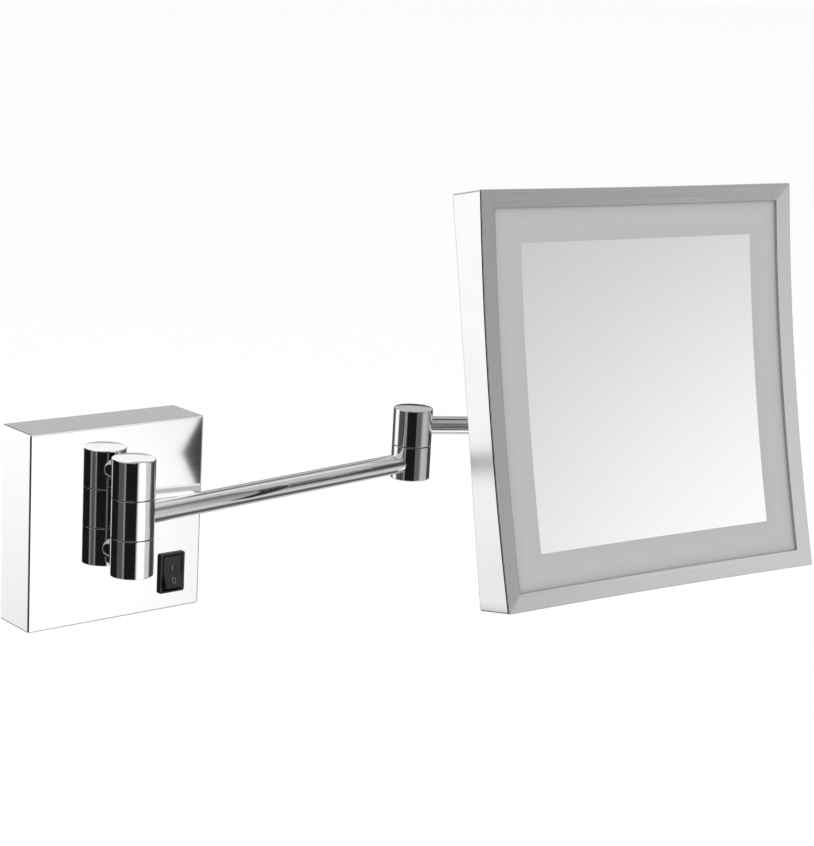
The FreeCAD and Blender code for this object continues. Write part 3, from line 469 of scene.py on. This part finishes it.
bezelFinish = {"color": (0.61, 0.611, 0.613), "tone": 0.05, "roughness": (0.20, 0.29), "along": 6.0,
               "across": 1400.0, "depth": 0.00002}
silverFinish = {"color": (0.95, 0.955, 0.96), "haze": 9.0, "roughness": (0.004, 0.014)}
# edge is the darker colour at the band's inner and outer edges, painted shade; middle is the grey half way
# across
frostFinish = {"edge": (0.43, 0.435, 0.44), "middle": (0.45, 0.455, 0.46), "grain": 3500.0,
               "roughness": (0.42, 0.52), "depth": 0.00004}


# Brushed metal: streaks = a noise squeezed hard across the bezel and long along it; they move
# the colour, the roughness and a shallow height together.
def brushedMetal(name, values):
    material = bpy.data.materials.new(name)
    material.use_nodes = True
    tree = material.node_tree
    shader = tree.nodes["Principled BSDF"]
    shader.inputs["Metallic"].default_value = 1.0
    strip = addNode(tree, "ShaderNodeUVMap", uv_map="surface").outputs[0]
    squeezed = addNode(tree, "ShaderNodeMapping",
                       {"Vector": strip, "Scale": (values["along"], values["across"], 1.0)}).outputs[0]
    streaks = noiseNode(tree, squeezed, 1.0, 5.0, 0.65)
    tint = addNode(tree, "ShaderNodeMix", data_type="RGBA")
    tree.links.new(streaks, tint.inputs[0])
    tint.inputs[6].default_value = (*[(1 - values["tone"]) * c for c in values["color"]], 1)
    tint.inputs[7].default_value = (*[(1 + values["tone"]) * c for c in values["color"]], 1)
    tree.links.new(tint.outputs[2], shader.inputs["Base Color"])
    tree.links.new(mapRange(tree, streaks, 0.3, 0.7, *values["roughness"]), shader.inputs["Roughness"])
    tree.links.new(bumpNode(tree, streaks, values["depth"]), shader.inputs["Normal"])
    return material


# Silvered glass: an even silver with the faintest haze in its gloss.
def silveredGlass(name, values):
    material = bpy.data.materials.new(name)
    material.use_nodes = True
    tree = material.node_tree
    shader = tree.nodes["Principled BSDF"]
    shader.inputs["Metallic"].default_value = 1.0
    shader.inputs["Base Color"].default_value = (*values["color"], 1)
    haze = noiseNode(tree, addNode(tree, "ShaderNodeTexCoord").outputs["Object"], values["haze"], 3.0)
    tree.links.new(mapRange(tree, haze, 0.4, 0.7, *values["roughness"]), shader.inputs["Roughness"])
    return material


# Etched glass: colour depends on max(|x|, |z|) from the middle, a little higher half way across
# the band and darker at its inner and outer edges as painted shade, with a fine frost in height and gloss.
def etchedGlass(name, values, innerReach, outerReach):
    material = bpy.data.materials.new(name)
    material.use_nodes = True
    tree = material.node_tree
    shader = tree.nodes["Principled BSDF"]
    parts = addNode(tree, "ShaderNodeSeparateXYZ", {
        0: addNode(tree, "ShaderNodeUVMap", uv_map="surface").outputs[0]})
    reach = mathNode(tree, "MAXIMUM", mathNode(tree, "ABSOLUTE", parts.outputs[0]),
                     mathNode(tree, "ABSOLUTE", parts.outputs[1]))
    ramp = addNode(tree, "ShaderNodeValToRGB", {"Fac": mathNode(tree, "MULTIPLY", reach, 1 / outerReach)})
    stops = ramp.color_ramp.elements
    for stop, position in zip(stops, (innerReach / outerReach, 1.0)):
        stop.position = position
        stop.color = (*values["edge"], 1)
    stops.new((innerReach / outerReach + 1) / 2).color = (*values["middle"], 1)
    tree.links.new(ramp.outputs[0], shader.inputs["Base Color"])
    frost = noiseNode(tree, addNode(tree, "ShaderNodeTexCoord").outputs["Object"], values["grain"])
    tree.links.new(bumpNode(tree, frost, values["depth"]), shader.inputs["Normal"])
    tree.links.new(mapRange(tree, frost, 0.3, 0.7, *values["roughness"]), shader.inputs["Roughness"])
    return material


brushed = brushedMetal("brushedBezel", bezelFinish)
silvered = silveredGlass("silveredGlass", silverFinish)
print("finishes ready")

# A disc for each knuckle end, a barrel for each segment, all on the same radius.
knuckle = {"radius": 11, "boreRadius": 4, "jointEdge": 0.14, "seamEdge": 0.02, "rimEdge": 0.5,
           "crown": 0.7, "half": 9.85, "gap": 0.5, "capThickness": 1.2, "wallHalf": 30.5,
           "foot": 9.9, "elbowRise": 21.3, "swivelRise": 31, "stubRadius": 6, "stubReach": 13.5,
           "stubEnd": 8}
segmentFoot = knuckle["half"] + knuckle["gap"]
segmentHead = knuckle["wallHalf"] - knuckle["capThickness"]
stubHeight = (segmentFoot + knuckle["wallHalf"]) / 2


# capped is the side, 1 or -1, that carries a cap, where the edge is too sharp to see
def barrel(foot, head, capped=0):
    footEdge = knuckle["seamEdge"] if capped < 0 else knuckle["jointEdge"]
    headEdge = knuckle["seamEdge"] if capped > 0 else knuckle["jointEdge"]
    return turned(barrelProfile(foot, head, knuckle["radius"], knuckle["boreRadius"], footEdge, headEdge))


# A cap: a rounded rim, and a face that falls by crown x (radius / rim)^2 from its middle.
def capDisc(foot, up):
    flat = knuckle["radius"] - knuckle["rimEdge"]
    top = knuckle["capThickness"] - knuckle["crown"]
    radius = np.linspace(flat, 0, 9)
    face = np.stack([radius, knuckle["capThickness"] - knuckle["crown"] * (radius / flat) ** 2], 1)
    seam = knuckle["seamEdge"]
    profile = np.concatenate([
        [[0, 0], [knuckle["radius"] - seam, 0], [knuckle["radius"], seam]],
        arc((flat, top - knuckle["rimEdge"]), knuckle["rimEdge"], 0, 90), face[1:]])
    profile[:, 1] = foot + (profile[:, 1] if up else knuckle["capThickness"] - profile[:, 1])
    return turned(profile)


for side, name in ((1, "top"), (-1, "bottom")):
    ends = sorted((side * segmentFoot, side * segmentHead))
    stub = turned(np.array([[0, knuckle["stubEnd"]], [knuckle["stubRadius"], knuckle["stubEnd"]],
                            [knuckle["stubRadius"], knuckle["stubReach"]], [0, knuckle["stubReach"]]]), "y")
    stub[:, :, 2] += side * stubHeight
    makePiece("wallKnuckle_" + name, [barrel(*ends, side), stub], pivotFrame, "wall_unit",
              [chrome], ["fixed_knuckle_" + name])
    makePiece("wallCap_" + name, [capDisc(segmentHead if side > 0 else -knuckle["wallHalf"], side > 0)],
              pivotFrame, "wall_unit", [chrome], ["wall_cap_" + name])

makePiece("armKnuckle", [barrel(-knuckle["half"], knuckle["half"])], armFrame, "arm",
          [chrome], ["arm_knuckle"])


# a hinge of two capped segments: the lower one rides with the arm or rod that comes to it, and
# the upper one, as tall as rise, rides with what it carries
def hinge(name, segmentNode, capNode, rise, lower, upper):
    crownFoot = segmentFoot + rise - knuckle["capThickness"]
    lowerFoot = -knuckle["foot"] + knuckle["capThickness"]
    for label, grid, (place, body), node in (
            ("Lower", barrel(lowerFoot, knuckle["half"], -1), lower, segmentNode + "_lower"),
            ("CapBottom", capDisc(-knuckle["foot"], False), lower, capNode + "_bottom"),
            ("Upper", barrel(segmentFoot, crownFoot, 1), upper, segmentNode + "_upper"),
            ("CapTop", capDisc(crownFoot, True), upper, capNode + "_top")):
        makePiece(name + label, [grid], place, body, [chrome], [node])


hinge("elbow", "elbow_knuckle", "elbow_cap", knuckle["elbowRise"], (elbowFrame, "arm"),
      (linkFrame, "link"))
hinge("swivel", "head_knuckle", "swivel_cap", knuckle["swivelRise"], (linkEndFrame, "link"),
      (swivelFrame, "swivel"))
print("knuckles ready")

tubes = {"armLength": 201, "rodLength": 100, "armRadius": 5.5, "rodRadius": 5, "wall": 1.2,
         "start": 7, "rodRise": 21}


# an open-bored tube along x: the ring's closed section turned about x
def tube(radius, length):
    return turned(np.array([[radius - tubes["wall"], tubes["start"]], [radius, tubes["start"]],
                            [radius, length - tubes["start"]],
                            [radius - tubes["wall"], length - tubes["start"]]]), "x")


makePiece("armTube", [tube(tubes["armRadius"], tubes["armLength"])], armFrame, "arm",
          [chrome], ["arm_tube"])
rod = tube(tubes["rodRadius"], tubes["rodLength"])
rod[:, :, 2] += tubes["rodRise"]
makePiece("linkRod", [rod], linkFrame, "link", [chrome], ["link_rod"])
print("tubes ready")

switch = {"x": 32.6, "z": -30.7, "face": -27, "lip": 1.6, "halfX": 7.5, "halfZ": 10.5, "corner": 0.9,
          "edge": 0.45, "caseHalfX": 6.5, "caseHalfZ": 9.5, "caseBack": -11, "windowHalfX": 5.7,
          "windowHalfZ": 9.3, "windowCorner": 0.5, "windowDepth": 6, "windowEdge": 0.3}

# From the middle of the window's floor, up its walls, over the lip and down the case: each row
# is one rounded rectangle, and the lip's two edges are quarter circles.
centre = (switch["x"], switch["z"])
front = switch["face"] - switch["lip"]
rings, depths = [], []


def addRing(halfX, halfZ, corner, depth):
    rings.append(squareRing(halfX, halfZ, corner, centre, perSide=8, perCorner=6))
    depths.append(depth)


addRing(0, 0, 0, front + switch["windowDepth"])
addRing(switch["windowHalfX"], switch["windowHalfZ"], switch["windowCorner"], front + switch["windowDepth"])
for inset, depth in arc((switch["windowEdge"], switch["windowEdge"]), switch["windowEdge"], 180, 270, 5):
    addRing(switch["windowHalfX"] + inset, switch["windowHalfZ"] + inset, switch["windowCorner"] + inset,
            front + depth)
for inset, depth in arc((-switch["edge"], switch["edge"]), switch["edge"], -90, 0, 6):
    addRing(switch["halfX"] + inset, switch["halfZ"] + inset, switch["corner"], front + depth)
addRing(switch["halfX"], switch["halfZ"], switch["corner"], switch["face"])
addRing(switch["caseHalfX"], switch["caseHalfZ"], switch["windowCorner"], switch["face"])
addRing(switch["caseHalfX"], switch["caseHalfZ"], switch["windowCorner"], switch["caseBack"])
addRing(0, 0, 0, switch["caseBack"])
makePiece("switchHousing", [ringStack(rings, depths)], wallFrame, "wall_unit",
          [finishes["switch_black"]], ["switch_housing"], closedRows=False)

rocker = {"halfX": 5.4, "halfZ": 8.2, "front": 4.6, "waist": 2.7, "back": 1.2, "corner": 0.5,
          "edge": 0.4, "hollow": 1.5}


# The rocker's face: depth = -(waist + (front - waist) x |z / half height| ^ hollow), so its two
# halves dip gently to the waist.
def rockerFace(z):
    rise = (rocker["front"] - rocker["waist"]) * np.abs(z / rocker["halfZ"]) ** rocker["hollow"]
    return -(rocker["waist"] + rise)


def rockerRing(share, inset=0.0):
    return squareRing((rocker["halfX"] - inset) * share, (rocker["halfZ"] - inset) * share,
                      rocker["corner"] * share, perSide=16, perCorner=5)


rings = [rockerRing(0), rockerRing(1), rockerRing(1)]
depths = [rocker["back"], rocker["back"], rockerFace(rings[2][:, 1]) + rocker["edge"]]
for inset, lift in arc((rocker["edge"], rocker["edge"]), rocker["edge"], 180, 270, 5)[1:]:
    ring = rockerRing(1, inset)
    rings.append(ring)
    depths.append(rockerFace(ring[:, 1]) + lift)
for share in np.linspace(0.96, 0, 14):
    ring = rockerRing(share, rocker["edge"])
    rings.append(ring)
    depths.append(rockerFace(ring[:, 1]))
makePiece("rockerButton", [ringStack(rings, depths)], rockerFrame, "rocker",
          [finishes["switch_black"]], ["rocker_button"], closedRows=False)

powerMarks = {"barHalfX": 0.22, "barHalfZ": 1.3, "barZ": 2.0, "ringRadiusX": 1.0, "ringRadiusZ": 1.5,
              "ringWidth": 0.3, "ringZ": -4.4, "barCorner": 0.1, "stand": 0.06, "sink": 0.3}

# On and off marks that follow the rocker's face: a small rounded bar, and an oval ring whose
# four rows are its inner and outer ovals, sunk and standing.
bar = squareRing(powerMarks["barHalfX"], powerMarks["barHalfZ"], powerMarks["barCorner"],
                 (0, powerMarks["barZ"]), perSide=8, perCorner=4)
middle = np.broadcast_to(bar.mean(0), bar.shape)
barFace = rockerFace(bar[:, 1])
barGrid = ringStack([middle, bar, bar, middle],
                    [rockerFace(powerMarks["barZ"]) + powerMarks["sink"], barFace + powerMarks["sink"],
                     barFace - powerMarks["stand"], rockerFace(powerMarks["barZ"]) - powerMarks["stand"]])
angle = np.linspace(0, 2 * np.pi, 48, endpoint=False)


def oval(extra):
    return np.stack([(powerMarks["ringRadiusX"] + extra) * np.cos(angle),
                     (powerMarks["ringRadiusZ"] + extra) * np.sin(angle) + powerMarks["ringZ"]], 1)


inner, outer = oval(-powerMarks["ringWidth"] / 2), oval(powerMarks["ringWidth"] / 2)
innerFace, outerFace = rockerFace(inner[:, 1]), rockerFace(outer[:, 1])
ovalGrid = ringStack([inner, outer, outer, inner],
                     [innerFace + powerMarks["sink"], outerFace + powerMarks["sink"],
                      outerFace - powerMarks["stand"], innerFace - powerMarks["stand"]])
makePiece("onMark", [barGrid], rockerFrame, "rocker", [switchMark], closedRows=False)
makePiece("offMark", [ovalGrid], rockerFrame, "rocker", [switchMark])
print("switch ready")

head = {"half": 110, "back": -14, "rim": -40, "curve": 1370, "wall": 1.5, "corner": 1.2, "edge": 0.8,
        "bezelThickness": 1.6, "bezelRim": 9.5, "bezelEdge": 0.3, "bezelLip": 0.5, "bezelLean": 0.6,
        "seam": 1.0, "openCorner": 0.6, "glassRecess": 2.2, "glassThickness": 4, "glassHalf": 105,
        "clearHalf": 82, "hair": 0.05, "silverRows": 26, "etchedRows": 8}
ballMiddle = head["rim"] - math.sqrt(head["curve"] ** 2 - 2 * head["half"] ** 2)


# the dish, t behind the rim's own: y = ball middle + sqrt((curve + t)^2 - x^2 - z^2)
def dish(ring, behind):
    return ballMiddle + np.sqrt((head["curve"] + behind) ** 2 - (ring ** 2).sum(1))


def headRing(half, corner=None):
    return squareRing(half, half, min(half, head["corner"] if corner is None else corner), perSide=48)


# The back shell: from the middle of its back, round the back edge, along the side, over its
# front edge and back along the inside.
shellRings = [headRing(0), headRing(head["half"] - head["edge"] - head["hair"])]
shellDepths = [head["back"]] * 2
for inset, depth in arc((-head["edge"], -head["edge"]), head["edge"], 90, 0):
    shellRings.append(headRing(head["half"] + inset))
    shellDepths.append(head["back"] + depth)
shellRings.append(headRing(head["half"]))
shellDepths.append(head["back"] - head["edge"] - head["hair"])
for half in (head["half"], head["half"] - head["wall"]):
    shellRings.append(headRing(half))
    shellDepths.append(dish(shellRings[-1], head["bezelThickness"]))
shellRings += [headRing(head["half"] - head["wall"]), headRing(0)]
shellDepths += [head["back"] - head["wall"]] * 2
makePiece("backShell", [ringStack(shellRings, shellDepths)], headFrame, "head",
          [shellChrome], ["back_shell"], closedRows=False)

# The bezel: a square frame bent to the dish, its face leaning in by a little towards the glass
# and its front edges quarter circles.  Behind a thin lip its side steps in, and that side is
# painted soft black as painted shade on the bezel metal, which is the dark seam in front of the shell.
lipHalf, openHalf, edge = head["half"], head["half"] - head["bezelRim"], head["bezelEdge"]
section = np.concatenate([
    [[lipHalf - head["seam"], head["bezelThickness"]], [lipHalf - head["seam"], head["bezelLip"]],
     [lipHalf, head["bezelLip"]]],
    arc((lipHalf - edge, edge), edge, 0, -90, 5),
    [[lipHalf - edge - head["hair"], 0], [openHalf + edge + head["hair"], head["bezelLean"]]],
    arc((openHalf + edge, edge + head["bezelLean"]), edge, -90, -180, 5),
    [[openHalf, head["bezelThickness"]]]])
# the rows of the stepped-in side take soft black: painted shade in the seam, on bezel metal
paintedShadeRows = np.where(np.arange(len(section)) < 2, 1, 0)
bezelMiddle = (lipHalf + openHalf) / 2
bezelRings = [headRing(half, head["corner"] if half > bezelMiddle else head["openCorner"])
              for half in section[:, 0]]
bezelGrid = ringStack(bezelRings, [dish(ring, behind) for ring, behind in zip(bezelRings, section[:, 1])])
around = distanceRound(bezelRings[0]) * mm
across = distanceRound(section) * mm
makePiece("frontBezel", [bezelGrid], headFrame, "head",
          [brushed, finishes["soft_black"]], ["front_bezel"], rowZones=paintedShadeRows,
          cornerMap=stripMap(around, across, len(section), bezelGrid.shape[1], True))

# The glass: one dished sheet, silvered in the middle and etched outside it.
etched = etchedGlass("etchedBorder", frostFinish, head["clearHalf"] * mm,
                     (head["half"] - head["bezelRim"]) * mm)
glassBack = head["glassRecess"] + head["glassThickness"]
silverHalves = np.linspace(0, head["clearHalf"], head["silverRows"])
etchedHalves = np.linspace(head["clearHalf"], head["glassHalf"], head["etchedRows"])[1:]
glassRings = [headRing(half, head["openCorner"]) for half in np.concatenate([silverHalves, etchedHalves])]
glassDepths = [dish(ring, head["glassRecess"]) for ring in glassRings]
glassRings += [glassRings[-1], headRing(0)]
glassDepths += [dish(glassRings[-2], glassBack), dish(glassRings[-1], glassBack)]
glassGrid = ringStack(glassRings, glassDepths)
rowCount, columnCount, _ = glassGrid.shape
faceCorners = gridFaces(rowCount, columnCount, False)
zones = np.where(np.arange(rowCount - 1) < len(silverHalves) - 1, 0, 1)
makePiece("mirrorGlass", [glassGrid], headFrame, "head", [silvered, etched],
          ["mirror_glass"], closedRows=False, rowZones=zones,
          cornerMap=(glassGrid.reshape(-1, 3)[faceCorners][:, :, [0, 2]] * mm).reshape(-1, 2))
print("head ready")

# every CAD node that stays gets the finish of its own slot
nodeFinishes = {
    "polished_chrome": ["wall_cover", "tilt_lug"],
    "plain_steel": ["cover_screws", "driver_screws", "terminal_screws", "wall_pivot_pin", "wall_pivot_nut",
                    "knuckle_bolts", "elbow_pin", "elbow_nut", "swivel_pin", "swivel_nut",
                    "bracket_screws", "tilt_pin", "tilt_nut", "rocker_pin", "tilt_bracket"],
    "zinc_steel": ["wall_bracket"], "tray_metal": ["inner_tray"],
    "soft_black": ["cable_grommet", "glass_gasket"], "white_plastic": ["led_driver", "terminal_block"],
    "contact_brass": ["switch_terminals"], "wire_sheath": ["arm_wire", "link_wire"],
    "washer_plastic": ["wall_pivot_washers", "elbow_washer", "swivel_washer", "tilt_washers"],
    "opal_plastic": ["light_diffuser"], "board_white": ["led_boards"], "led_yellow": ["led_chips"],
}
for slotName, nodeNames in nodeFinishes.items():
    for nodeName in nodeNames:
        for entry in frame["nodes"][nodeName].material_slots:
            entry.material = finishes[slotName]
print("carried-over nodes finished")
